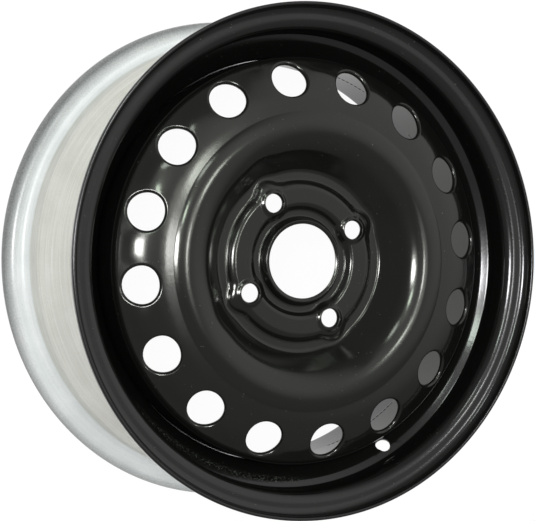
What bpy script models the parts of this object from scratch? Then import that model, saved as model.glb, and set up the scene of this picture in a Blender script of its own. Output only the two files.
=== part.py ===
"""A pressed steel car wheel: a rolled rim, a pressed disc and the weld beads that join them.

The wheel's axis is +Z and its street side is up. The origin is on the axis, half way between
the two rim flanges. All sizes are in metres and all angles in degrees.
"""

import math

import bpy
import numpy as np

# The rim's section, from the standard drop centre contour with J flanges
BEAD_RADIUS = 0.1774
RIM_WIDTH = 0.1397
FLANGE_HEIGHT = 0.0173
FLANGE_CURL = 0.0095
LIP_LENGTH = 0.0016
HEEL_FILLET = 0.0065
BEAD_SEAT_SLOPE = 5.0
HUMP_HEIGHT = 0.0014
HUMP_INSET = 0.0197
HUMP_FOOT = 0.0040
SHOULDER_INSET = 0.0247
SHOULDER_RISE = 0.0005
SHOULDER_ROUND = 0.0055
RIM_SHEET = 0.0026

# The drop centre well, which lies nearer the street side
WELL_DEPTH = 0.0188
WELL_FRONT_INSET = 0.04225
WELL_BACK_INSET = 0.04625
WELL_FRONT_SLOPE = 44.0
WELL_BACK_SLOPE = 38.0
WELL_FILLET = 0.0055

# The disc's street side, from the hub's flat ring to the skirt that stands in the rim's well
DISC_SHEET = 0.0032
DISC_GAP = 0.0003
MOUNTING_FACE = 0.0478
HUB_RING_RADIUS = 0.0694
HUB_RING_FILLET = 0.0042
DISH_SLOPE = 50.0
CROWN_TOP = 0.0757
CROWN_ROLL = 0.025
CROWN_FALL = 28.2
APRON_SLOPE = 6.0
APRON_ROLL = 0.040
SHOULDER_FILLET = 0.0080
SKIRT_LAP = 0.0081

# The collar drawn up round the centre bore
BORE_RADIUS = 0.0283
COLLAR_HEIGHT = 0.0064
COLLAR_SLOPE = 67.0
COLLAR_FILLET = 0.0020

# The raised plateau round the collar, which spreads into a round pad at each bolt
PLATEAU_HEIGHT = 0.0040
PLATEAU_SLOPE = 47.0
PLATEAU_GAP = 0.0053
RING_WIDTH = 0.0076
INNER_ROLL = 0.0045
OUTER_ROLL = 0.0080
PAD_RADIUS = 0.0150
PAD_OFFSET = 0.0020
PAD_BLEND = 0.0030
PAD_BULGE = 0.0020

# The bolt holes and their conical seats in raised bosses
BOLT_COUNT = 4
BOLT_CIRCLE = 0.100
BOLT_TURN = 45.0
BOLT_HOLE = 0.0142
SEAT_MOUTH = 0.0158
SEAT_ANGLE = 60.0
SEAT_HEIGHT = 0.0013
SEAT_LAND = 0.0015
BOSS_RIM = 0.0003
BOSS_SLOPE = 45.0

# The vents in the apron, placed and sized by shares of the apron's width (42 mm here)
VENT_COUNT = 16
VENT_SHARE = 0.672
VENT_PLACE = 0.587
VENT_SLOPE = 28.0
VENT_TURN = 0.8
BEND_PLACE = 0.401

# The valve hole in the well's street side wall, in line with a bolt hole
VALVE_HOLE = 0.0113
VALVE_RISE = 0.0102
VALVE_TURN = 315.0

# The weld beads under the skirt's sheared edge
WELD_COUNT = 8
WELD_LEG = 0.0042
WELD_FULLNESS = 0.85
WELD_STEPS = 4
WELD_GAP = 0.0003

# Facets round the axis, twice as many on the hub, and the largest turn between two points
SEGMENTS = 48
HUB_SEGMENTS = 2 * SEGMENTS
RIM_STEP = 30.0
DISC_STEP = 24.0
CROWN_STEP = 15.0
HOLE_SIDES = 20

# Sizes that follow from the ones above
HALF_WIDTH = RIM_WIDTH / 2
WELL_RADIUS = BEAD_RADIUS - WELL_DEPTH
WELL_FRONT = HALF_WIDTH - WELL_FRONT_INSET
WELL_BACK = WELL_BACK_INSET - HALF_WIDTH
SKIRT_RADIUS = WELL_RADIUS - RIM_SHEET - DISC_GAP
SKIRT_END = WELL_FRONT - SKIRT_LAP
HUB_HEIGHT = MOUNTING_FACE + DISC_SHEET
PLATEAU_TOP = HUB_HEIGHT + PLATEAU_HEIGHT
COLLAR_RADIUS = BORE_RADIUS + DISC_SHEET * math.sin(math.radians(COLLAR_SLOPE))
COLLAR_FOOT = COLLAR_RADIUS + COLLAR_HEIGHT / math.tan(math.radians(COLLAR_SLOPE))
PLATEAU_INNER = COLLAR_FOOT + PLATEAU_GAP
PLATEAU_OUTER = HUB_RING_RADIUS - RING_WIDTH
PAD_CIRCLE = BOLT_CIRCLE / 2 + PAD_OFFSET


def clear_scene():
    for thing in list(bpy.data.objects):
        bpy.data.objects.remove(thing, do_unlink=True)


def paint(name, colour, roughness, metallic=0.0):
    material = bpy.data.materials.new(name)
    material.use_nodes = True
    shader = material.node_tree.nodes["Principled BSDF"]
    shader.inputs["Base Color"].default_value = (*colour, 1.0)
    shader.inputs["Roughness"].default_value = roughness
    shader.inputs["Metallic"].default_value = metallic
    return material


def add_object(name, points, faces, material=None):
    mesh = bpy.data.meshes.new(name)
    mesh.from_pydata([tuple(map(float, point)) for point in points], [], faces)
    mesh.update()
    thing = bpy.data.objects.new(name, mesh)
    bpy.context.scene.collection.objects.link(thing)
    if material:
        mesh.materials.append(material)
        mesh.shade_smooth()
        mesh.set_sharp_from_angle(angle=math.radians(30))
    return thing


def cut(thing, cutter, operation="DIFFERENCE"):
    cutter.hide_render = True
    cutter.display_type = "WIRE"
    modifier = thing.modifiers.new(cutter.name, "BOOLEAN")
    modifier.operation = operation
    modifier.solver = "EXACT"
    modifier.object = cutter


def rounded(corners, arc_step):
    """Points along a line of corners (radius, height, fillet), and the unit normal on its left."""
    places = np.array([corner[:2] for corner in corners])
    legs = np.diff(places, axis=0)
    lengths = np.hypot(legs[:, 0], legs[:, 1])
    ways = legs / lengths[:, None]
    lefts = np.stack([-ways[:, 1], ways[:, 0]], axis=1)
    points, normals = [places[0]], [lefts[0]]
    for index in range(1, len(corners) - 1):
        before, after = ways[index - 1], ways[index]
        turn = math.atan2(before[0] * after[1] - before[1] * after[0], before @ after)
        if corners[index][2] == 0:
            middle = lefts[index - 1] + lefts[index]
            points.append(places[index])
            normals.append(middle * 2 / (middle @ middle))
            continue
        room = 0.49 * min(lengths[index - 1], lengths[index])
        trim = min(corners[index][2] * math.tan(abs(turn) / 2), room)
        fillet = trim / math.tan(abs(turn) / 2) * math.copysign(1, turn)
        centre = places[index] - before * trim + lefts[index - 1] * fillet
        steps = max(1, math.ceil(abs(math.degrees(turn)) / arc_step))
        for step in range(steps + 1):
            angle = turn * step / steps
            left = lefts[index - 1] * math.cos(angle) - before * math.sin(angle)
            points.append(centre - left * fillet)
            normals.append(left)
    points.append(places[-1])
    normals.append(lefts[-1])
    return np.array(points), np.array(normals)


def arc(centre, radius, first, last, largest):
    """Points on an arc from one tilt to another, with normals: a tilt of 0 is the arc's top."""
    steps = max(1, math.ceil(abs(last - first) / largest))
    tilts = np.radians(np.linspace(first, last, steps + 1))
    normals = np.stack([np.sin(tilts), np.cos(tilts)], axis=1)
    return centre + radius * normals, normals


def rim_line():
    """The rim's tyre side from the street side lip to the inner lip."""
    rise = math.tan(math.radians(BEAD_SEAT_SLOPE))
    hump = HALF_WIDTH - HUMP_INSET

    def seat(height):
        return BEAD_RADIUS - (HALF_WIDTH - abs(height)) * rise

    def flange(side):
        lip = HALF_WIDTH + FLANGE_CURL + LIP_LENGTH
        return [
            (BEAD_RADIUS + FLANGE_HEIGHT, side * lip, 0),
            (BEAD_RADIUS + FLANGE_HEIGHT, side * HALF_WIDTH, FLANGE_CURL),
            (BEAD_RADIUS, side * HALF_WIDTH, HEEL_FILLET),
            (seat(hump + HUMP_FOOT), side * (hump + HUMP_FOOT), 0),
            (seat(hump) + HUMP_HEIGHT, side * hump, 0),
        ]

    shoulder = seat(HALF_WIDTH - SHOULDER_INSET) + SHOULDER_RISE
    fall = shoulder - WELL_RADIUS
    front = WELL_FRONT + fall / math.tan(math.radians(WELL_FRONT_SLOPE))
    back = WELL_BACK - fall / math.tan(math.radians(WELL_BACK_SLOPE))
    return [
        *flange(1),
        (shoulder, front, SHOULDER_ROUND),
        (WELL_RADIUS, WELL_FRONT, WELL_FILLET),
        (WELL_RADIUS, WELL_BACK, WELL_FILLET),
        (shoulder, back, SHOULDER_ROUND),
        *flange(-1)[::-1],
    ]


def crown_centre():
    """The centre of the crown's roll, which the dish's wall meets as a tangent."""
    slope = math.radians(DISH_SLOPE)
    height = CROWN_TOP - CROWN_ROLL
    wall = height + CROWN_ROLL * math.cos(slope) - HUB_HEIGHT
    return HUB_RING_RADIUS + wall / math.tan(slope) + CROWN_ROLL * math.sin(slope), height


def apron_line():
    """The apron's corners: the crease at the crown, the bend, the shoulder and the skirt's end."""
    centre, fall = crown_centre(), math.radians(CROWN_FALL)
    crease = centre[0] + CROWN_ROLL * math.sin(fall), centre[1] + CROWN_ROLL * math.cos(fall)
    width = SKIRT_RADIUS - crease[0]
    inner, outer = math.tan(math.radians(APRON_SLOPE)), math.tan(math.radians(VENT_SLOPE))
    bend = crease[0] + BEND_PLACE * width, crease[1] - BEND_PLACE * width * inner
    edge = bend[1] - (SKIRT_RADIUS - bend[0]) * outer
    return [
        (*crease, 0),
        (*bend, APRON_ROLL),
        (SKIRT_RADIUS, edge, SHOULDER_FILLET),
        (SKIRT_RADIUS, SKIRT_END, 0),
    ]


def hub_rows():
    """The radii at which the hub's relief bends: its feet, its slopes' ends and its rolls."""
    slope = math.radians(PLATEAU_SLOPE)
    radii = [BOLT_CIRCLE / 2, PAD_CIRCLE - PAD_RADIUS, PAD_CIRCLE + PAD_RADIUS]
    radii.append((PLATEAU_OUTER + PAD_CIRCLE + PAD_RADIUS) / 2)
    for foot, side, roll in ((PLATEAU_INNER, 1, INNER_ROLL), (PLATEAU_OUTER, -1, OUTER_ROLL)):
        corner = PLATEAU_HEIGHT / math.tan(slope)
        tangent = roll * math.tan(slope / 2)
        bends = [0, corner - tangent * math.cos(slope), corner, corner + tangent]
        radii += [foot + side * bend for bend in bends]
    first, last = COLLAR_FOOT + COLLAR_FILLET, HUB_RING_RADIUS - HUB_RING_FILLET / 2
    return sorted(radius for radius in radii if first < radius < last)


def disc_line():
    """The disc's street side from the bore to the skirt's sheared edge, without the hub's relief."""
    crown, normals = arc(crown_centre(), CROWN_ROLL, -DISH_SLOPE, 0, CROWN_STEP)
    fall, tilted = arc(crown_centre(), CROWN_ROLL, 0, CROWN_FALL, CROWN_STEP)
    hub = rounded(
        [
            (COLLAR_RADIUS, HUB_HEIGHT + COLLAR_HEIGHT, 0),
            (COLLAR_FOOT, HUB_HEIGHT, COLLAR_FILLET),
            *((radius, HUB_HEIGHT, 0) for radius in hub_rows()),
            (HUB_RING_RADIUS, HUB_HEIGHT, HUB_RING_FILLET),
            (*crown[0], 0),
        ],
        DISC_STEP,
    )
    apron = rounded(apron_line(), DISC_STEP)
    crease = tilted[-1] + apron[1][0]
    points = np.concatenate([hub[0][:-1], crown, fall[1:-1], apron[0]])
    normals = np.concatenate(
        [hub[1][:-1], normals, tilted[1:-1], [crease / np.linalg.norm(crease)], apron[1][1:]]
    )
    return points, normals


def smooth(value):
    value = np.clip(value, 0, 1)
    return value * value * (3 - 2 * value)


def hub_relief(radius, angle, depth):
    """The plateau's height over the hub's ring, on a face that lies a depth below the street side.

    It is 0 outside the plateau's foot, rises at a constant slope, and rolls over onto the flat top.
    """
    turn = np.radians(BOLT_TURN + 360 / BOLT_COUNT * np.arange(BOLT_COUNT))
    centres = PAD_CIRCLE * np.stack([np.cos(turn), np.sin(turn)])
    place = np.stack([radius * np.cos(angle), radius * np.sin(angle)])
    ring = np.minimum(radius - PLATEAU_INNER, PLATEAU_OUTER - radius)
    pad = PAD_RADIUS - np.min(np.hypot(*(place[:, :, None] - centres[:, None, :])), axis=-1)
    share = np.clip(0.5 + (pad - ring) / (2 * PAD_BLEND), 0, 1)
    inside = ring + (pad - ring) * share + PAD_BLEND * share * (1 - share)

    slope = math.radians(PLATEAU_SLOPE)
    run = np.maximum(inside - depth * math.tan(slope / 2), 0)
    outwards = smooth((radius - PLATEAU_INNER) / (PLATEAU_OUTER - PLATEAU_INNER))
    roll = INNER_ROLL + (OUTER_ROLL - INNER_ROLL) * outwards - depth
    short = PLATEAU_HEIGHT / math.tan(slope) + roll * math.tan(slope / 2) - run
    on_roll = np.clip(short, 0, roll * math.sin(slope))
    curved = PLATEAU_HEIGHT - roll + np.sqrt(roll**2 - on_roll**2)
    return np.minimum(run * math.tan(slope), curved)


def pad_bulge(radius, angle):
    """How far the foot of the dish stands back from the axis at each bolt."""
    turn = np.radians(360 / BOLT_COUNT)
    off = (angle - np.radians(BOLT_TURN) + turn / 2) % turn - turn / 2
    near = smooth(1 - np.abs(off) * HUB_RING_RADIUS / PAD_RADIUS)
    crown = crown_centre()[0]
    fade = smooth((radius - PLATEAU_OUTER) / (HUB_RING_RADIUS - PLATEAU_OUTER))
    fade *= smooth((crown - radius) / (crown - HUB_RING_RADIUS))
    return PAD_BULGE * near * fade


def row_angles(radius):
    """The facets' angles at a radius: the hub has twice as many as the rest."""
    count = HUB_SEGMENTS if radius < HUB_RING_RADIUS else SEGMENTS
    return np.radians(360 / count) * np.arange(count)


def joined_rows(rows):
    """Faces between each row of points and the next one, the last row joined to the first."""
    counts = [len(row) for row in rows]
    starts = np.append(0, np.cumsum(counts))
    faces = []
    for row, count in enumerate(counts):
        after = (row + 1) % len(rows)
        here, there, other = int(starts[row]), int(starts[after]), counts[after]
        for step in range(min(count, other)):
            following = (step + 1) % min(count, other)
            if count == other:
                faces.append((here + step, there + step, there + following, here + following))
            elif count > other:
                first, middle, last = here + 2 * step, here + 2 * step + 1, here + 2 * following
                faces.append((first, there + step, middle))
                faces.append((middle, there + step, there + following))
                faces.append((middle, there + following, last))
            else:
                first, middle, last = there + 2 * step, there + 2 * step + 1, there + 2 * following
                faces.append((here + step, first, middle))
                faces.append((here + step, middle, here + following))
                faces.append((here + following, middle, last))
    return faces


def make_rim(material):
    points, normals = rounded(rim_line(), RIM_STEP)
    loop = np.concatenate([points, (points - normals * RIM_SHEET)[::-1]])
    rows = []
    for radius, height in loop:
        angle = np.radians(360 / SEGMENTS) * np.arange(SEGMENTS)
        row = [radius * np.cos(angle), radius * np.sin(angle), height + 0 * angle]
        rows.append(np.stack(row, axis=1))
    rim = add_object("rim", np.concatenate(rows), joined_rows(rows), material)

    slope = math.radians(WELL_FRONT_SLOPE)
    radius = WELL_RADIUS - RIM_SHEET + VALVE_RISE
    height = WELL_FRONT + RIM_SHEET * math.tan(slope / 2) + VALVE_RISE / math.tan(slope)
    turn = math.radians(VALVE_TURN)
    hole = round_cutter("valve_hole", [(VALVE_HOLE / 2, VALVE_HOLE), (VALVE_HOLE / 2, -VALVE_HOLE)])
    hole.location = radius * math.cos(turn), radius * math.sin(turn), height
    hole.rotation_euler = 0, slope - math.pi / 2, turn
    cut(rim, hole)
    return rim


def make_disc(material):
    points, normals = disc_line()
    places = list(zip(points, normals))
    rows = []
    for depth, order in ((0, places), (DISC_SHEET, places[::-1])):
        for point, normal in order:
            angle = row_angles(point[0])
            radius, height = point - normal * depth
            height = height + hub_relief(radius, angle, depth)
            radius = radius + pad_bulge(radius, angle)
            rows.append(np.stack([radius * np.cos(angle), radius * np.sin(angle), height], axis=1))
    disc = add_object("disc", np.concatenate(rows), joined_rows(rows), material)
    cut(disc, seat_bosses(), "UNION")
    cut(disc, bolt_holes())
    cut(disc, vent_holes())
    return disc


def round_cutter(name, outline):
    """A closed turned body about its own Z from an outline of (radius, height), top to bottom."""
    turns = 2 * math.pi / HOLE_SIDES * np.arange(HOLE_SIDES)
    points = [
        (radius * math.cos(turn), radius * math.sin(turn), height)
        for radius, height in outline
        for turn in turns
    ]
    faces = [tuple(range(HOLE_SIDES))]
    for row in range(len(outline) - 1):
        here, there = row * HOLE_SIDES, (row + 1) * HOLE_SIDES
        for step in range(HOLE_SIDES):
            following = (step + 1) % HOLE_SIDES
            faces.append((here + step, there + step, there + following, here + following))
    last = (len(outline) - 1) * HOLE_SIDES
    faces.append(tuple(range(last + HOLE_SIDES - 1, last - 1, -1)))
    return add_object(name, points, faces)


def joined_copies(name, single, count, start, radius, height, tilt=0.0):
    """One object made of copies of a body on a circle, each leaning outwards by the tilt."""
    points = np.array([vertex.co for vertex in single.data.vertices])
    faces = [tuple(face.vertices) for face in single.data.polygons]
    bpy.data.objects.remove(single, do_unlink=True)
    lean = math.radians(tilt)
    leaning = np.array(
        [[math.cos(lean), 0, math.sin(lean)], [0, 1, 0], [-math.sin(lean), 0, math.cos(lean)]]
    )
    placed = points @ leaning.T + (radius, 0, height)
    all_points, all_faces = [], []
    for copy in range(count):
        turn = math.radians(start + 360 / count * copy)
        about = np.array(
            [[math.cos(turn), -math.sin(turn), 0], [math.sin(turn), math.cos(turn), 0], [0, 0, 1]]
        )
        all_faces += [tuple(index + len(points) * copy for index in face) for face in faces]
        all_points.append(placed @ about.T)
    return add_object(name, np.concatenate(all_points), all_faces)


def seat_bosses():
    """The raised cones round the bolt holes, set into the sheet below them."""
    top = SEAT_MOUTH / 2 + BOSS_RIM
    sunk = DISC_SHEET / 2
    foot = top + (SEAT_HEIGHT + sunk) / math.tan(math.radians(BOSS_SLOPE))
    boss = round_cutter("seat_boss", [(top, SEAT_HEIGHT), (foot, -sunk)])
    return joined_copies("seat_bosses", boss, BOLT_COUNT, BOLT_TURN, BOLT_CIRCLE / 2, PLATEAU_TOP)


def bolt_holes():
    """The holes with their conical seats, and the hollow that the press leaves behind each one."""
    slope = math.tan(math.radians(SEAT_ANGLE / 2))
    mouth, hole = SEAT_MOUTH / 2, BOLT_HOLE / 2
    seat = SEAT_HEIGHT - (mouth - hole) / slope
    hollow = DISC_SHEET + seat - SEAT_LAND
    outline = [
        (mouth + DISC_SHEET * slope, SEAT_HEIGHT + DISC_SHEET),
        (hole, seat),
        (hole, seat - SEAT_LAND),
        (hole + 2 * hollow, seat - SEAT_LAND - 2 * hollow),
    ]
    cutter = round_cutter("bolt_hole", outline)
    return joined_copies("bolt_holes", cutter, BOLT_COUNT, BOLT_TURN, BOLT_CIRCLE / 2, PLATEAU_TOP)


def vent_holes():
    """The vents' cutters, square to the apron at their middle."""
    crease, bend, shoulder, _ = apron_line()
    width = shoulder[0] - crease[0]
    radius = crease[0] + VENT_PLACE * width
    height = bend[1] - (radius - bend[0]) * math.tan(math.radians(VENT_SLOPE))
    size, reach = VENT_SHARE * width / 2, 4 * DISC_SHEET
    hole = round_cutter("vent_hole", [(size, reach), (size, -reach)])
    return joined_copies("vent_holes", hole, VENT_COUNT, VENT_TURN, radius, height, VENT_SLOPE)


def make_weld(number, material):
    """One fillet bead between the skirt's edge and the well, over a few of the wheel's facets."""
    well = WELL_RADIUS - RIM_SHEET - WELD_GAP
    top = SKIRT_END - WELD_GAP
    swings = ((0, 1), (30, WELD_FULLNESS), (60, WELD_FULLNESS), (90, 1))
    section = [(well, top)]
    for swing, share in swings:
        across, down = math.sin(math.radians(swing)), math.cos(math.radians(swing))
        section.append((well - WELD_LEG * share * across, top - WELD_LEG * share * down))
    pitch = SEGMENTS // WELD_COUNT
    first = pitch * number - WELD_STEPS // 2
    points = [
        (radius * math.cos(turn), radius * math.sin(turn), height)
        for turn in np.radians(360 / SEGMENTS) * np.arange(first, first + WELD_STEPS + 1)
        for radius, height in section
    ]
    count = len(section)
    faces = [tuple(range(count - 1, -1, -1)), tuple(range(len(points) - count, len(points)))]
    for step in range(WELD_STEPS):
        for side in range(count):
            here, there = step * count + side, step * count + (side + 1) % count
            faces.append((here, there, there + count, here + count))
    return add_object(f"weld_bead_{number + 1}", points, faces, material)


def main():
    clear_scene()
    make_rim(paint("black_enamel", (0.012, 0.013, 0.012), 0.25))
    make_disc(paint("disc_black_enamel", (0.012, 0.013, 0.012), 0.22))
    bead_metal = paint("weld_bead_metal", (0.05, 0.05, 0.05), 0.45, 0.4)
    for number in range(WELD_COUNT):
        make_weld(number, bead_metal)


main()
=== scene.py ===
import math

import bpy
import numpy as np
from mathutils import Matrix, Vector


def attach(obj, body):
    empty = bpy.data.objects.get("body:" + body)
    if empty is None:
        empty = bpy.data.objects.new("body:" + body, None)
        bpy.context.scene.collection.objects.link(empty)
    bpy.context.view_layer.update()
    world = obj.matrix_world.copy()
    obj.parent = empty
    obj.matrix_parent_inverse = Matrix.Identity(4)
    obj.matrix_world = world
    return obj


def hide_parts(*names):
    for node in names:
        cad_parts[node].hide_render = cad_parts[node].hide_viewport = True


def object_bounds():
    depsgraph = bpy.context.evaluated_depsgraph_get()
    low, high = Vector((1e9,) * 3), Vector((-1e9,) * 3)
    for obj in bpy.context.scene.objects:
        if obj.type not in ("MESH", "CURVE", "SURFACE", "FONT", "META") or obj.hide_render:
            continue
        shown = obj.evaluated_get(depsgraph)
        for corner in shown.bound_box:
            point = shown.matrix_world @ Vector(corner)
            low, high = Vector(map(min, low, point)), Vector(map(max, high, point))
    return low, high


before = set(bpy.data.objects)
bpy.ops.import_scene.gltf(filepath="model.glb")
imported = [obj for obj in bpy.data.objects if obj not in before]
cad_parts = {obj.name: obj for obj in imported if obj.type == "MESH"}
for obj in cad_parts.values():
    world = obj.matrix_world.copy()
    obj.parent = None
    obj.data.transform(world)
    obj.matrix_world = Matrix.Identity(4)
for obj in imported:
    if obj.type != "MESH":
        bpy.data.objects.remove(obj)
cad_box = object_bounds()


# The disc: one blank of 3.2 mm steel sheet, deep drawn into a hat with a dished middle, its hub
# coined with a raised plateau and four bolt seats, then pierced with the bore, four bolt holes and
# sixteen vents. The piercing punch leaves each street side edge slightly drawn in.

disc_sheet = 0.0032
hub_height = 0.0510
collar_radius, collar_height, collar_foot, collar_fillet = 0.03125, 0.0064, 0.0340, 0.0020
ring_radius, dish_fillet, dish_slope = 0.0694, 0.0042, math.radians(50)
plateau_inner, plateau_outer, plateau_height = 0.0393, 0.0618, 0.0040
plateau_slope, plateau_foot = math.radians(47), 0.0006
inner_roll, outer_roll = 0.0045, 0.0080
pad_circle, pad_radius, pad_join, foot_bulge = 0.052, 0.015, 0.006, 0.0020
bolt_circle, bolt_hole = 0.050, 0.0071
seat_mouth, seat_height, seat_foot, seat_cone = 0.0079, 0.0013, 0.0114, math.radians(30)
hollow_radius, hollow_depth = 0.0087, 0.0016
crown_radius, crown_height, crown_roll = 0.1018, 0.0757, 0.025
crease_radius, crease_fillet = 0.1136, 0.0006
apron_slope, apron_roll = math.radians(6), 0.058
vent_count, first_vent = 16, 0.8
vent_radius, vent_height, vent_slope, vent_size = 0.1383, 0.0668, math.radians(31), 0.01415
bridge_height = 0.0004
bridge_foot, bridge_climb, bridge_end, bridge_drop = 0.0100, 0.0160, 0.0150, 0.0100
skirt_radius, skirt_end, skirt_fillet, skirt_share = 0.1557, 0.0195, 0.008, 0.4


def smooth(value):
    """0 below 0, 1 above 1, and the cubic 3v^2 - 2v^3 between them."""
    value = np.clip(value, 0, 1)
    return value * value * (3 - 2 * value)


def bent_line(corners):
    """A line of corners (radius, height, fillet): straight legs, and at each corner an arc that is
    tangent to both. Columns are the distance along it, radius, height and the left normal."""
    places = np.array([corner[:2] for corner in corners])
    legs = np.diff(places, axis=0)
    ways = legs / np.hypot(*legs.T)[:, None]
    lefts = np.stack([-ways[:, 1], ways[:, 0]], axis=1)
    points, normals = [places[:1]], [lefts[:1]]
    for place, (_, _, fillet), way, after, left in zip(
        places[1:], corners[1:-1], ways[:-1], ways[1:], lefts[:-1]
    ):
        turn = math.atan2(way[0] * after[1] - way[1] * after[0], way @ after)
        centre = place - way * fillet * math.tan(abs(turn) / 2) + left * math.copysign(fillet, turn)
        angles = np.linspace(0, turn, 2 + int(abs(math.degrees(turn))))[:, None]
        arc = left * np.cos(angles) - way * np.sin(angles)
        points.append(centre - arc * math.copysign(fillet, turn))
        normals.append(arc)
    points = np.concatenate([*points, places[-1:]])
    normals = np.concatenate([*normals, lefts[-1:]])
    steps = np.hypot(*np.diff(points, axis=0).T)
    return np.column_stack([np.append(0, np.cumsum(steps)), points, normals])


def at(line, distance):
    """Radius, height and normal of a line at a distance along it, read between its columns."""
    return [np.interp(distance, line[:, 0], line[:, column]) for column in (1, 2, 3, 4)]


def rows_of(line, spacing, turn):
    """Distances along a line, closer together where it bends: each step adds up to one part of the
    spacing and one part of the turn in degrees. Both ends get extra rows for their round edges."""
    bends = np.degrees(np.hypot(*np.diff(line[:, 3:5], axis=0).T))
    effort = np.append(0, np.cumsum(np.diff(line[:, 0]) / spacing + bends / turn))
    rows = np.interp(np.linspace(0, effort[-1], int(effort[-1]) + 2), effort, line[:, 0])
    edge = np.array([0, 0.05, 0.15, 0.3, 0.5, 0.8]) / 1000
    end, margin = line[-1, 0], 0.001
    inner = rows[(rows > margin) & (rows < end - margin)]
    return np.unique(np.concatenate([edge, inner, end - edge]))


def drawn_in(distance, radius):
    """How far a round edge falls back at a distance from its end: a quarter circle."""
    short = radius - np.clip(distance, 0, radius)
    return radius - np.sqrt(radius**2 - short**2)


def upright(skin, distance, turn):
    """Unit normals of a skin: the cross product of its two slopes, each read a hundredth of a
    millimetre to either side, so that the shading follows the formula and not the mesh."""
    hair, twist = 0.00001, 0.0001
    along = skin(distance + hair, turn) - skin(distance - hair, turn)
    about = skin(distance, turn + twist) - skin(distance, turn - twist)
    normal = np.cross(along, about)
    return normal / np.linalg.norm(normal, axis=1)[:, None]


def pierced(rows, columns, line, skin, holes):
    """A grid of rows (distance along a line) by columns (turn about the axis). Round each hole
    (distance, turn, radius, reach, clearances) the quads of a square patch give way to rings: each
    point of the patch's edge moves straight towards the hole, through three shares of the way to
    the first clearance, and then through the clearances, to the hole's edge."""
    count = len(columns)
    step = 2 * math.pi / count
    shares = (0.72, 0.45, 0.2)
    distance, turn = np.meshgrid(rows, columns, indexing="ij")
    places = [np.stack([distance.ravel(), turn.ravel()], axis=1)]
    here = np.arange(len(rows) * count).reshape(len(rows), count)
    after = np.roll(here, -1, axis=1)
    quads = np.stack([here[:-1], here[1:], after[1:], after[:-1]], axis=-1)
    keep = np.ones(quads.shape[:2], bool)
    extra, total, circles = [], here.size, []
    for centre, angle, radius, reach, clearances in holes:
        first, last = np.searchsorted(rows, [centre - reach, centre + reach])
        first -= 1
        wide = reach / at(line, centre)[0]
        left, right = round((angle - wide) / step) - 1, round((angle + wide) / step) + 1
        keep[first:last, np.arange(left, right) % count] = False
        walk = [(row, left) for row in range(first, last)]
        walk += [(last, column) for column in range(left, right)]
        walk += [(row, right) for row in range(last, first, -1)]
        walk += [(first, column) for column in range(right, left, -1)]
        walk = np.array(walk)
        u = rows[walk[:, 0]] - centre
        v = (walk[:, 1] * step - angle) * at(line, rows[walk[:, 0]])[0]
        far = np.hypot(u, v)
        ring = here[walk[:, 0], walk[:, 1] % count]
        near = radius + clearances[0]
        rings = [far * share + near * (1 - share) for share in shares]
        for away in [*rings, *[radius + clearance + 0 * far for clearance in clearances]]:
            along = centre + u / far * away
            about = angle + v / far * away / at(line, along)[0]
            places.append(np.stack([along, about], axis=1))
            inner = total + np.arange(len(walk))
            total += len(walk)
            extra.append(np.stack([ring, np.roll(ring, -1), np.roll(inner, -1), inner], axis=1))
            ring = inner
        circles.append(ring)
    places = np.concatenate(places)
    skins = skin(*places.T), upright(skin, *places.T)
    return *skins, np.concatenate([quads[keep], *extra]), here, circles, places[:, 0]


def closed_shell(name, line, outer, inner, rows, columns, holes):
    """Two pierced skins, the inner one turned over, joined along both ends and round each hole. Its
    points keep their distance along the line, and 1 on the outer skin, for the finish to read."""
    front, outwards, faces, grid, circles, along = pierced(rows, columns, line, outer, holes)
    back, inwards = pierced(rows, columns, line, inner, holes)[:2]
    shift = len(front)
    walls = []
    for ring in [grid[0], *circles]:
        following = np.roll(ring, -1)
        walls.append(np.stack([ring, following, following + shift, ring + shift], axis=1))
    end, after = grid[-1], np.roll(grid[-1], -1)
    walls.append(np.stack([after, end, end + shift, after + shift], axis=1))
    quads = np.concatenate([faces, faces[:, ::-1] + shift, *walls]).astype(np.int32)
    piece = new_mesh(name, np.concatenate([front, back]), quads)
    corners = np.empty(quads.size * 3, np.float32)
    piece.data.corner_normals.foreach_get("vector", corners)
    corners = corners.reshape(-1, 3)
    skins = quads[: 2 * len(faces)].ravel()
    corners[: len(skins)] = np.concatenate([outwards, -inwards])[skins]
    piece.data.normals_split_custom_set(corners)
    for kind, values in (("along", [along, along]), ("outer_skin", [along * 0 + 1, along * 0])):
        mark = piece.data.attributes.new(kind, "FLOAT", "POINT")
        mark.data.foreach_set("value", np.concatenate(values).astype(np.float32))
    return piece


def new_mesh(name, points, quads):
    """A smooth shaded mesh object at the origin from an array of points and one of quads."""
    mesh = bpy.data.meshes.new(name)
    mesh.vertices.add(len(points))
    mesh.vertices.foreach_set("co", np.ascontiguousarray(points, np.float32).ravel())
    mesh.loops.add(quads.size)
    mesh.loops.foreach_set("vertex_index", quads.ravel().astype(np.int32))
    mesh.polygons.add(len(quads))
    mesh.polygons.foreach_set("loop_start", np.arange(0, quads.size, 4, dtype=np.int32))
    mesh.update(calc_edges=True)
    mesh.validate()
    mesh.shade_smooth()
    mesh.set_sharp_from_angle(angle=math.radians(38))
    piece = bpy.data.objects.new(name, mesh)
    bpy.context.collection.objects.link(piece)
    return piece


# The crown is a roll of 25 mm that falls 50 degrees into the dish, and 28 towards the crease. Its
# two arcs are a hair tighter, so that each ends short of the next corner.
crown_fall = math.asin((crease_radius - crown_radius) / crown_roll)
dish_arc, crease_arc = 0.999 * crown_roll, 0.97 * crown_roll
crease_height = crown_height - crown_roll * (1 - math.cos(crown_fall))

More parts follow.
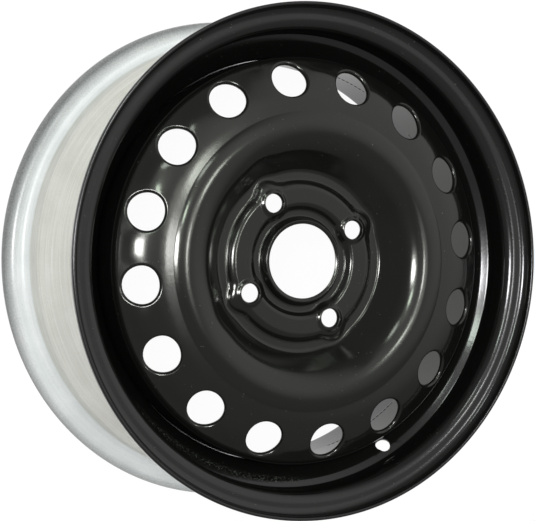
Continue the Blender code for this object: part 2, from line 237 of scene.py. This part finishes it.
# The apron leaves the crease at 6 degrees, and bends where it meets the vents' slope of 31.
apron_fall, vent_fall = math.tan(apron_slope), math.tan(vent_slope)
bend = (crease_height - vent_height + apron_fall * crease_radius - vent_fall * vent_radius) / (
    apron_fall - vent_fall
)
disc_line = bent_line([
    (collar_radius, hub_height + collar_height, 0),
    (collar_foot, hub_height, collar_fillet),
    (ring_radius, hub_height, dish_fillet),
    (crown_radius - crown_roll * math.tan(dish_slope / 2), crown_height, dish_arc),
    (crown_radius + crown_roll * math.tan(crown_fall / 2), crown_height, crease_arc),
    (crease_radius, crease_height, crease_fillet),
    (bend, crease_height - apron_fall * (bend - crease_radius), apron_roll),
    (skirt_radius, vent_height - vent_fall * (skirt_radius - vent_radius), skirt_fillet),
    (skirt_radius, skirt_end, 0),
])
bolt_turns = np.radians([45, 135, 225, 315])
vent_turns = np.radians(first_vent + 360 / vent_count * np.arange(vent_count))
bolt_places = bolt_circle * np.stack([np.cos(bolt_turns), np.sin(bolt_turns)])
pad_places = pad_circle * np.stack([np.cos(bolt_turns), np.sin(bolt_turns)])
bolt_distance = np.interp(bolt_circle, disc_line[:, 1], disc_line[:, 0])
vent_distance = np.interp(vent_radius, disc_line[:, 1], disc_line[:, 0])


def nearest(radius, turn, places):
    """Distance to the nearest of some places on the hub."""
    place = np.stack([radius * np.cos(turn), radius * np.sin(turn)])
    return np.hypot(*(place[:, :, None] - places[:, None, :])).min(axis=-1)


def hub_relief(radius, turn, depth):
    """Height over the hub's ring. A plateau covers a band round the collar and a round pad at each
    bolt, joined by a smooth maximum: it rises at 47 degrees and rolls over onto its flat top, more
    softly away from the axis. On the street side each bolt seat is a low cone on it, and dips at 60
    degrees to the hole. On the hub side a shallow hollow faces the seat."""
    band = np.minimum(radius - plateau_inner, plateau_outer - radius)
    pad = pad_radius - nearest(radius, turn, pad_places)
    share = np.clip(0.5 + (pad - band) / pad_join, 0, 1)
    inside = band + (pad - band) * share + pad_join / 2 * share * (1 - share)
    run = inside - depth * math.tan(plateau_slope / 2)
    run = (run + np.sqrt(run**2 + plateau_foot**2)) / 2
    outwards = smooth((radius - plateau_inner) / (plateau_outer - plateau_inner))
    roll = inner_roll + (outer_roll - inner_roll) * outwards - depth
    short = plateau_height / math.tan(plateau_slope) + roll * math.tan(plateau_slope / 2) - run
    on_roll = np.clip(short, 0, roll * math.sin(plateau_slope))
    curved = plateau_height - roll + np.sqrt(roll**2 - on_roll**2)
    plateau = np.minimum(run * math.tan(plateau_slope), curved) * (inside > -pad_join)
    reach = nearest(radius, turn, bolt_places)
    if depth > 0:
        return plateau + np.clip(hollow_radius - reach, 0, hollow_depth)
    cone = seat_height * smooth((seat_foot - reach) / (seat_foot - seat_mouth))
    return plateau + cone - np.clip(seat_mouth - reach, 0, None) / math.tan(seat_cone)


def pad_bulge(radius, turn):
    """The dish's foot stands up to 2 mm further from the axis at each bolt, and fades above."""
    off = (turn - bolt_turns[0] + math.pi / 4) % (math.pi / 2) - math.pi / 4
    near = smooth(1 - np.abs(off) * ring_radius / pad_radius)
    rise = smooth((radius - plateau_outer) / (ring_radius - plateau_outer))
    fade = smooth((crown_radius - radius) / (crown_radius - ring_radius))
    return foot_bulge * near * rise * fade


def bridge_rise(distance, turn):
    """The bridges between the vents stand up to 0.4 mm over the slope that they are pierced in.
    Each is a cubic step up and a shorter one down along the line, times one about the axis."""
    wave = smooth(-np.cos(vent_count * (turn - vent_turns[0])))
    off = distance - vent_distance
    climb, drop = (off + bridge_foot) / bridge_climb, (bridge_end - off) / bridge_drop
    return bridge_height * wave * smooth(climb) * smooth(drop)


def disc_skin(depth, edge, vent_roll):
    """The street side line turned about the axis, set back by a depth along its normal, with its
    bore edge, its vents' edges and, four tenths as much, its skirt's end drawn in by a quarter
    circle, and lifted by the hub's relief and the bridges."""

    def skin(distance, turn):
        radius, height, out, up = at(disc_line, distance)
        wide = (turn[:, None] - vent_turns + math.pi) % (2 * math.pi) - math.pi
        near = np.hypot(distance[:, None] - vent_distance, wide * radius[:, None]).min(axis=1)
        inset = drawn_in(near - vent_size, vent_roll) * (near < vent_size + vent_roll)
        inset += drawn_in(distance, edge)
        inset += drawn_in(disc_line[-1, 0] - distance, skirt_share * edge)
        shift = bridge_rise(distance, turn) + (inset - depth if depth > 0 else -inset)
        height = height + up * shift + hub_relief(radius, turn, depth)
        radius = radius + out * shift + pad_bulge(radius, turn)
        return np.stack([radius * np.cos(turn), radius * np.sin(turn), height], axis=1)

    return skin


# Round each hole the mesh gives way within a reach, to rings at these clearances from its edge. The
# hub has rows of its own, 0.7 mm apart, from the collar's foot to the dish. The columns all round
# are 1.5 degrees apart.
vent_reach, bolt_reach = 0.0168, 0.0128
vent_rings = np.array([2.5, 2.0, 1.6, 1.2, 0.85, 0.55, 0.3, 0.12, 0.03, 0]) / 1000
bolt_rings = np.array([5.0, 4.2, 3.5, 2.8, 2.1, 1.5, 1.0, 0.8, 0.6, 0.3, 0]) / 1000
disc_holes = [(vent_distance, turn, vent_size, vent_reach, vent_rings) for turn in vent_turns]
disc_holes += [(bolt_distance, turn, bolt_hole, bolt_reach, bolt_rings) for turn in bolt_turns]
hub_margin, hub_gap, hub_spacing = 0.0015, 0.0003, 0.00070
hub_edges = [collar_foot + hub_margin, ring_radius - hub_margin]
hub_first, hub_last = np.interp(hub_edges, disc_line[:, 1], disc_line[:, 0])
coarse = rows_of(disc_line, spacing=0.0034, turn=6.0)
coarse = coarse[(coarse < hub_first - hub_gap) | (coarse > hub_last)]
columns = np.linspace(0, 2 * math.pi, 240, endpoint=False)
disc = closed_shell(
    "disc_pressing",
    disc_line,
    disc_skin(depth=0, edge=0.0009, vent_roll=0.0021),
    disc_skin(depth=disc_sheet, edge=0.0003, vent_roll=0.0003),
    np.union1d(coarse, np.arange(hub_first, hub_last, hub_spacing)),
    columns,
    disc_holes,
)


def linear(colour):
    """An sRGB hex colour as linear red, green, blue and 1."""
    parts = [int(colour[start : start + 2], 16) / 255 for start in (0, 2, 4)]
    return [((p + 0.055) / 1.055) ** 2.4 if p > 0.04045 else p / 12.92 for p in parts] + [1]


def fill(tree, node, inputs):
    """Fills a node's inputs, found by name or by their order, with a value, a hex colour, an output
    or another node, of which it takes the first output."""
    sockets = [socket for socket in node.inputs if socket.enabled]
    named = {socket.name: socket for socket in reversed(sockets)}
    for key, value in inputs.items():
        socket = sockets[key] if isinstance(key, int) else named[key]
        if isinstance(value, bpy.types.Node):
            value = next(output for output in value.outputs if output.enabled)
        if isinstance(value, bpy.types.NodeSocket):
            tree.links.new(value, socket)
        else:
            socket.default_value = linear(value) if isinstance(value, str) else value


def add(tree, kind, inputs=None, **settings):
    """Adds a node with its settings, and fills its inputs."""
    node = tree.nodes.new(kind)
    for key, value in settings.items():
        setattr(node, key, value)
    fill(tree, node, inputs or {})
    return node


def blank_material(name):
    """A material whose tree holds only its shader, and that tree, shader and object coordinates."""
    material = bpy.data.materials.new(name)
    material.use_nodes = True
    tree = material.node_tree
    shader = tree.nodes["Principled BSDF"]
    return material, tree, shader, add(tree, "ShaderNodeTexCoord").outputs["Object"]


def enamel_coat(tree, place):
    """Colour, roughness and height of black dip enamel: dust nibs in cells of 1.6 mm, drawn as
    coarse as they need to show, a gloss that drifts over 5 cm, and orange peel of 2.4 mm."""
    dust = add(tree, "ShaderNodeTexNoise", {"Vector": place, "Scale": 640.0, "Detail": 1.0})
    nib = add(tree, "ShaderNodeMapRange", {"Value": dust, "From Min": 0.765, "From Max": 0.795})
    colour = add(tree, "ShaderNodeMix", {"Factor": nib, "A": "0e0f0d", "B": "474843"},
                 data_type="RGBA")
    drift = add(tree, "ShaderNodeTexNoise", {"Vector": place, "Scale": 22.0, "Detail": 3.0})
    gloss = add(tree, "ShaderNodeMapRange", {"Value": drift, "From Min": 0.3, "From Max": 0.7,
                                             "To Min": 0.11, "To Max": 0.17})
    peel = add(tree, "ShaderNodeTexNoise", {"Vector": place, "Scale": 420.0, "Detail": 2.0})
    return colour, gloss, peel


# Black cathodic dip enamel, baked hard: semi-gloss, so that lamps show as soft edged lines on the
# rolls, with a thick coat's slight orange peel and a few specks of dust under it.
enamel, tree, shader, place = blank_material("black_dip_enamel")
colour, gloss, peel = enamel_coat(tree, place)
bump = add(tree, "ShaderNodeBump", {"Height": peel, "Strength": 0.05, "Distance": 0.0003})
fill(tree, shader, {"Base Color": colour, "Roughness": gloss, "Specular Tint": "fdfff6",
                    "Normal": bump})
disc.data.materials.append(enamel)
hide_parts("disc")
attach(disc, "root")


# The rim: a strip of 2.6 mm steel coiled into a hoop, butt welded, then rolled to the drop centre
# section with two curled flanges. Street side and axis side are black enamel over the pale primer
# that still shows on the tyre side, where the rolling has left fine lines round the hoop.

rim_sheet = 0.0026
half_width, bead_radius, flange_radius = 0.06985, 0.1774, 0.1947
curl, lip, lip_round, heel_fillet = 0.0095, 0.0016, 0.0009, 0.0065
seat_width, seat_fall = 0.0247, math.tan(math.radians(5))
hump_foot, hump_foot_fillet = 0.05415, 0.006
hump_crest, hump_rise, hump_crest_fillet = 0.05015, 0.0014, 0.0045
hump_step, shoulder_fillet = 0.0005, 0.0035
well_radius, well_front, well_back, well_fillet = 0.1586, 0.0276, -0.0236, 0.0055
front_slope, back_slope = math.radians(44), math.radians(38)
ledge, ledge_slope, ledge_fillet = 0.0060, math.radians(29), 0.0040
valve_turn, valve_height, valve_size, valve_round = math.radians(315), 0.0392, 0.00565, 0.0005


def seat_radius(height):
    """The bead seat narrows by 5 degrees from the flange towards the well."""
    return bead_radius - (half_width - abs(height)) * seat_fall


def flange_corners(side):
    """Lip, curl, heel, foot of the safety hump and its crest, on one side of the rim."""
    return [
        (flange_radius, side * (half_width + curl + lip), 0),
        (flange_radius, side * half_width, curl),
        (bead_radius, side * half_width, heel_fillet),
        (seat_radius(hump_foot), side * hump_foot, hump_foot_fillet),
        (seat_radius(hump_crest) + hump_rise, side * hump_crest, hump_crest_fillet),
    ]


# The well's walls fall from the humps. The street side one starts with a shallower ledge.
hump_end = seat_radius(half_width - seat_width) + hump_step
front_end = well_front + (hump_end - well_radius) / math.tan(front_slope)
back_end = well_back - (hump_end - well_radius) / math.tan(back_slope)
rim_line = bent_line([
    *flange_corners(1),
    (hump_end, front_end, shoulder_fillet),
    (hump_end - ledge, front_end - ledge * math.tan(ledge_slope), ledge_fillet),
    (well_radius, well_front, well_fillet),
    (well_radius, well_back, well_fillet),
    (hump_end, back_end, well_fillet),
    *flange_corners(-1)[::-1],
])
line_end = float(rim_line[-1, 0])


def rim_skin(depth):
    """The tyre side line turned about the axis and set in by a depth, with its two lips and the
    valve hole's edge drawn in by a quarter circle."""

    def skin(distance, turn):
        radius, height, out, up = at(rim_line, distance)
        inset = drawn_in(distance, lip_round) + drawn_in(line_end - distance, lip_round)
        near = np.hypot(distance - valve_distance, (turn - valve_turn) * radius)
        inset += drawn_in(near - valve_size, valve_round) * (near < valve_size + valve_round)
        shift = inset - depth if depth > 0 else -inset
        radius, height = radius + out * shift, height + up * shift
        return np.stack([radius * np.cos(turn), radius * np.sin(turn), height], axis=1)

    return skin


# The valve hole is punched through the well's street side wall, in line with a bolt hole.
valve_distance = float(np.interp(-valve_height, -rim_line[:, 2], rim_line[:, 0]))
valve_reach = 0.0085
valve_rings = np.array([1.6, 1.0, 0.6, 0.4, 0.2, 0.07, 0]) / 1000
rim = closed_shell(
    "rim_hoop",
    rim_line,
    rim_skin(depth=0),
    rim_skin(depth=rim_sheet),
    rows_of(rim_line, spacing=0.0050, turn=5.0),
    columns,
    [(valve_distance, valve_turn, valve_size, valve_reach, valve_rings)],
)

# Grey electrodip primer, satin: it shows all round the tyre side, warm on the barrel. Past the back
# heel it is painted lighter and cooler, which is painted light on the flange's face that faces the
# lamps. Both vary in clouds of 3 cm. The rolls have drawn it out in pale lines 7 cm long and a
# millimetre or two wide, from a noise that is squeezed 55 times along the section.
line_squeeze = 55.0
coat, tree, shader, place = blank_material("enamel_over_grey_primer")
dark, gloss, peel = enamel_coat(tree, place)
along = add(tree, "ShaderNodeAttribute", attribute_name="along").outputs["Fac"]
tyre_side = add(tree, "ShaderNodeAttribute", attribute_name="outer_skin").outputs["Fac"]
apart = add(tree, "ShaderNodeSeparateXYZ", {"Vector": place}).outputs
deep = add(tree, "ShaderNodeMath", {0: along, 1: line_squeeze}, operation="MULTIPLY")
drawn = add(tree, "ShaderNodeCombineXYZ", {"X": apart["X"], "Y": apart["Y"], "Z": deep})
lines = add(tree, "ShaderNodeTexNoise", {"Vector": drawn, "Scale": 14.0, "Detail": 6.0})
cloud = add(tree, "ShaderNodeTexNoise", {"Vector": place, "Scale": 34.0, "Detail": 4.0})
cloud = add(tree, "ShaderNodeMapRange", {"Value": cloud, "From Min": 0.3, "From Max": 0.7})
warm = add(tree, "ShaderNodeMix", {"Factor": cloud, "A": "c0c1b7", "B": "cdcec6"},
           data_type="RGBA")
# Painted light: the lighter, cooler copy of the primer that covers the back flange past its heel.
lit_flange_primer = add(tree, "ShaderNodeMix", {"Factor": cloud, "A": "d2d8d6", "B": "dfe4e2"},
           data_type="RGBA")
heel, heel_blend = line_end - 0.0278, 0.0012
# Where the painted light takes over from the barrel's primer, blended over 1.2 mm each side of the
# heel.
past_heel = add(tree, "ShaderNodeMapRange", {
    "Value": along, "From Min": heel - heel_blend, "From Max": heel + heel_blend})
pale = add(tree, "ShaderNodeMix", {"Factor": past_heel, "A": warm, "B": lit_flange_primer}, data_type="RGBA")
streak = add(tree, "ShaderNodeMapRange", {"Value": lines, "From Min": 0.45, "From Max": 0.80,
                                          "To Max": 0.45})
pale = add(tree, "ShaderNodeMix", {"Factor": streak, "A": pale, "B": "f0f0ee"}, data_type="RGBA")

# The black enamel ends over it on both flanges. On the back one it thins out over 12 mm in a
# mist of flecks of 1.1 mm. On the side of the hoop towards its end that lies in shade, painted
# shade carries that darkening up to 8 mm further.
front_start, front_stop = 0.0075, 0.0095
back_start, back_stop = line_end - 0.013, line_end - 0.001
# Painted shade: the direction of the hoop's shaded end, and how far the dark flecked edge is pushed
# towards it.
shaded_end_side, painted_shade_reach = [-0.848, 0.530, 0], 0.008
towards_shaded_end = add(tree, "ShaderNodeVectorMath", {0: place, 1: shaded_end_side},
                   operation="DOT_PRODUCT")
# Painted shade: extra reach of the dark edge, growing towards the shaded end of the hoop.
painted_shade_extra = add(tree, "ShaderNodeMapRange", {"Value": towards_shaded_end, "From Min": 0.05,
                                        "From Max": 0.19, "To Max": painted_shade_reach})
shade_shifted_along = add(tree, "ShaderNodeMath", {0: along, 1: painted_shade_extra}, operation="ADD")
back = add(tree, "ShaderNodeMapRange", {"Value": shade_shifted_along, "From Min": back_start,
                                        "From Max": back_stop, "To Min": 1.0, "To Max": 0.25})
fleck = add(tree, "ShaderNodeTexNoise", {"Vector": place, "Scale": 900.0, "Detail": 2.0})
fleck = add(tree, "ShaderNodeMath", {0: fleck, 1: 0.5}, operation="SUBTRACT")
back = add(tree, "ShaderNodeMath", {0: fleck, 1: 0.35, 2: back}, operation="MULTIPLY_ADD")
front = add(tree, "ShaderNodeMapRange", {
    "Value": along, "From Min": front_start, "From Max": front_stop})
bare = add(tree, "ShaderNodeMath", {0: front, 1: back}, operation="MINIMUM")
outside = add(tree, "ShaderNodeMapRange", {
    "Value": tyre_side, "From Min": 0.55, "From Max": 0.95})
bare = add(tree, "ShaderNodeMath", {0: bare, 1: outside}, operation="MULTIPLY")

# A run of fine spatter has dried rough on the well's street side wall: grains of 1.3 mm that stand
# up about a tenth of that, in a strip that fades over 8 mm along a seventh of the hoop.
spatter_side, spatter_middle, spatter_height = [-0.139, -0.990, 0], 0.0545, 4.0
off = add(tree, "ShaderNodeMath", {0: along, 1: spatter_middle}, operation="SUBTRACT")
off = add(tree, "ShaderNodeMath", {0: off}, operation="ABSOLUTE")
strip = add(tree, "ShaderNodeMapRange", {"Value": off, "From Min": 0.0005, "From Max": 0.0040,
                                         "To Min": 1.0, "To Max": 0.0})
near = add(tree, "ShaderNodeVectorMath", {0: place, 1: spatter_side}, operation="DOT_PRODUCT")
stretch = add(tree, "ShaderNodeMapRange", {"Value": near, "From Min": 0.146, "From Max": 0.158})
strip = add(tree, "ShaderNodeMath", {0: strip, 1: stretch}, operation="MULTIPLY")
inside = add(tree, "ShaderNodeMapRange", {"Value": tyre_side, "From Max": 0.2,
                                          "To Min": 1.0, "To Max": 0.0})
strip = add(tree, "ShaderNodeMath", {0: strip, 1: inside}, operation="MULTIPLY")
grain = add(tree, "ShaderNodeTexNoise", {"Vector": place, "Scale": 800.0, "Detail": 1.0})
grain = add(tree, "ShaderNodeMapRange", {"Value": grain, "From Min": 0.52, "From Max": 0.68,
                                         "To Max": spatter_height})
spatter = add(tree, "ShaderNodeMath", {0: grain, 1: strip}, operation="MULTIPLY")
share = add(tree, "ShaderNodeMapRange", {"Value": spatter, "From Max": spatter_height})
dark = add(tree, "ShaderNodeMix", {"Factor": share, "A": dark, "B": "3e403a"}, data_type="RGBA")

# Where the primer is bare, its colour, satin and drawn lines take the place of the enamel's.
colour = add(tree, "ShaderNodeMix", {"Factor": bare, "A": dark, "B": pale}, data_type="RGBA")
satin = add(tree, "ShaderNodeMapRange", {"Value": bare, "To Min": gloss, "To Max": 0.34})
rise = add(tree, "ShaderNodeMapRange", {"Value": bare, "To Min": peel, "To Max": lines})
rise = add(tree, "ShaderNodeMath", {0: rise, 1: spatter}, operation="ADD")
bump = add(tree, "ShaderNodeBump", {"Height": rise, "Strength": 0.08, "Distance": 0.0003})
fill(tree, shader, {"Base Color": colour, "Roughness": satin, "Normal": bump})
rim.data.materials.append(coat)
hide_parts("rim")
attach(rim, "root")


# The weld beads: eight runs of fillet weld under the skirt's sheared edge, laid from inside, each
# a string of overlapping pools about 4 mm apart, painted over with the wheel.

bead_count, bead_span = 8, math.radians(14.6)
bead_top, bead_leg, bead_wall = 0.0192, 0.0042, 0.1557
bead_belly, bead_crown = 0.80, 0.08
pool_pairs, pool_swell = 19, 0.05
sections, section_points = 121, 13


def bead_loops(middle):
    """Cross sections of a bead, from one end to the other. Each is a quarter circle under the
    skirt and against the well, pushed out in its middle by a sine, and closed at its root. Its
    size tapers at the ends by the root of 1 - run^16, and swells by a cosine at each pool."""
    runs, sides = np.linspace(-1, 1, sections), np.linspace(0, 1, section_points)
    run, side = np.meshgrid(runs, sides, indexing="ij")
    taper = np.sqrt(np.clip(1 - run**16, 0.02, 1))
    pools = 1 + pool_swell * np.cos(run * pool_pairs * math.pi)
    size = bead_leg * taper * pools * (bead_belly + bead_crown * np.sin(side * math.pi))
    radius = bead_wall - size * np.cos(side * math.pi / 2)
    height = bead_top - size * np.sin(side * math.pi / 2)
    turn = middle + bead_span * run
    skin = np.stack([radius * np.cos(turn), radius * np.sin(turn), height], axis=-1)
    turn = turn[:, :1]
    root = np.stack([bead_wall * np.cos(turn), bead_wall * np.sin(turn), bead_top + 0 * turn],
                    axis=-1)
    return np.concatenate([skin, root], axis=1)


for number in range(bead_count):
    loops = bead_loops(2 * math.pi / bead_count * number)
    index = np.arange(loops.shape[0] * loops.shape[1]).reshape(loops.shape[:2])
    turned = np.roll(index, -1, axis=1)
    quads = np.stack([index[:-1], turned[:-1], turned[1:], index[1:]], axis=-1).reshape(-1, 4)
    ends = []
    for row, flip in ((index[0], 1), (index[-1], -1)):
        pairs = np.stack([row[:-2:2], row[1:-1:2], row[2::2], 0 * row[2::2] + row[-1]], axis=1)
        ends.append(pairs[:, ::-flip])
    bead = new_mesh(f"bead_{number + 1}", loops.reshape(-1, 3), np.concatenate([quads, *ends]))
    bead.data.materials.append(enamel)
    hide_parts(f"weld_bead_{number + 1}")
    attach(bead, "root")


# The floor: a pale matt paper sweep, 12 m wide, laid under the wheel. Seen by the camera or in a
# reflection it is almost white, and it keeps a soft shadow.
floor_mesh = bpy.data.meshes.new("floor")
low, far = cad_box[0][2], 6
floor_mesh.from_pydata([(-far, -far, low), (far, -far, low), (far, far, low), (-far, far, low)],
                       [], [(0, 1, 2, 3)])
floor = bpy.data.objects.new("floor", floor_mesh)
bpy.context.collection.objects.link(floor)
paper, tree, shader, _ = blank_material("white_paper_sweep")
fill(tree, shader, {"Base Color": "dcdcda", "Roughness": 0.9})
rays = add(tree, "ShaderNodeLightPath").outputs
seen = add(tree, "ShaderNodeMath", {0: rays["Is Camera Ray"], 1: rays["Is Transmission Ray"]},
           operation="MAXIMUM")
seen = add(tree, "ShaderNodeMath", {0: seen, 1: rays["Is Glossy Ray"]}, operation="MAXIMUM")
glow = add(tree, "ShaderNodeEmission", {"Color": "ffffff", "Strength": 0.96})
veil = add(tree, "ShaderNodeBsdfDiffuse", {"Color": "404040"})
white = add(tree, "ShaderNodeAddShader", {0: glow, 1: veil})
mixed = add(tree, "ShaderNodeMixShader", {0: seen, 1: shader, 2: white})
fill(tree, tree.nodes["Material Output"], {"Surface": mixed})
floor_mesh.materials.append(paper)


# The room: a grey studio, darker towards the floor, with a pale wall opposite the camera's side,
# soft glows round its lamps and windows, and white to the camera.
world = bpy.data.worlds.new("studio")
bpy.context.scene.world = world
world.use_nodes = True
tree = world.node_tree
way = add(tree, "ShaderNodeTexCoord").outputs["Generated"]
rise = add(tree, "ShaderNodeSeparateXYZ", {"Vector": way}).outputs["Z"]
room = add(tree, "ShaderNodeMapRange", {"Value": rise, "From Max": 0.8,
                                        "To Min": 0.20, "To Max": 0.37})


def towards(azimuth, elevation):
    """The unit vector at an azimuth from +X and an elevation, both in degrees."""
    turn, rise = math.radians(azimuth), math.radians(elevation)
    return [math.cos(turn) * math.cos(rise), math.sin(turn) * math.cos(rise), math.sin(rise)]


# Each glow has an azimuth and an elevation, the angles from there at which it starts to fade and
# has faded, all in degrees, and its level: the wall, the ceiling, and round three of the lamps.
for azimuth, elevation, inner, outer, level in (
    (45, 35, 10, 50, 0.65),
    (120, 74, 4, 28, 0.70),
    (189, 60, 5, 13, 3.50),
    (158, 65, 4, 14, 0.60),
    (35, 79, 4, 12, 2.20),
):
    near = add(tree, "ShaderNodeVectorMath", {0: way, 1: towards(azimuth, elevation)},
               operation="DOT_PRODUCT")
    lobe = add(tree, "ShaderNodeMapRange", {
        "Value": near, "From Min": math.cos(math.radians(outer)),
        "From Max": math.cos(math.radians(inner)), "To Max": level,
    }, interpolation_type="SMOOTHSTEP")
    room = add(tree, "ShaderNodeMath", {0: room, 1: lobe}, operation="ADD")
to_camera = add(tree, "ShaderNodeLightPath").outputs["Is Camera Ray"]
level = add(tree, "ShaderNodeMapRange", {"Value": to_camera, "To Min": room, "To Max": 1.0})
fill(tree, tree.nodes["Background"], {"Color": "ffffff", "Strength": level})


# The lamps: two soft boxes and a window on the wheel's left, which draw the bright lines along its
# rolls, and two small ceiling lamps for the glints on its right.


def lamp(name, azimuth, elevation, wide, high, radiance, colour, distance=2.5):
    """An oval light that faces the wheel. It spans the given angles in degrees as the wheel sees
    it, and its power is its radiance times pi times its area."""
    back = np.array(towards(azimuth, elevation))
    side = np.array(towards(azimuth + 90, 0))
    light = bpy.data.lights.new(name, "AREA")
    light.shape = "ELLIPSE"
    light.size = 2 * distance * math.tan(math.radians(wide / 2))
    light.size_y = 2 * distance * math.tan(math.radians(high / 2))
    light.energy = radiance * math.pi**2 / 4 * light.size * light.size_y
    light.color = linear(colour)[:3]
    holder = bpy.data.objects.new(name, light)
    bpy.context.collection.objects.link(holder)
    axes = np.stack([side, np.cross(back, side), back, back * distance], axis=1)
    holder.matrix_world = Matrix([*axes.tolist(), [0, 0, 0, 1]])


lamp("key_lamp", 189, 60, 11, 14, 42.0, "fcfaff")
lamp("window_lamp", 160, 65, 7, 7, 18.0, "f0fff2")
lamp("side_lamp", 133, 54, 9, 8, 10.0, "f6fff8")
lamp("ceiling_lamp_near", 24, 82.5, 6, 5, 22.0, "fcfaff")
lamp("ceiling_lamp_far", 53, 74.5, 6, 5, 20.0, "fafffa")


# The camera looks down on the wheel's street side at the photograph's angle, 26 degrees off the
# axis, with a long lens. Its axes and place are those that were fitted to the photograph.
camera = bpy.data.objects.new("camera", bpy.data.cameras.new("camera"))
bpy.context.collection.objects.link(camera)
camera.data.lens = 122.27
camera.data.sensor_width = 36.0
camera.data.clip_end = 50
right = (0.85983743, 0.2560004, 0.44175037)
up = (-0.27750586, 0.96058184, -0.01652383)
back = (-0.42856749, -0.10838051, 0.89698583)
eye = (-0.61623010, -0.15641588, 1.28533784)
camera.matrix_world = Matrix([*zip(right, up, back, eye), (0, 0, 0, 1)])
bpy.context.scene.camera = camera
bpy.context.scene.view_settings.view_transform = "Standard"
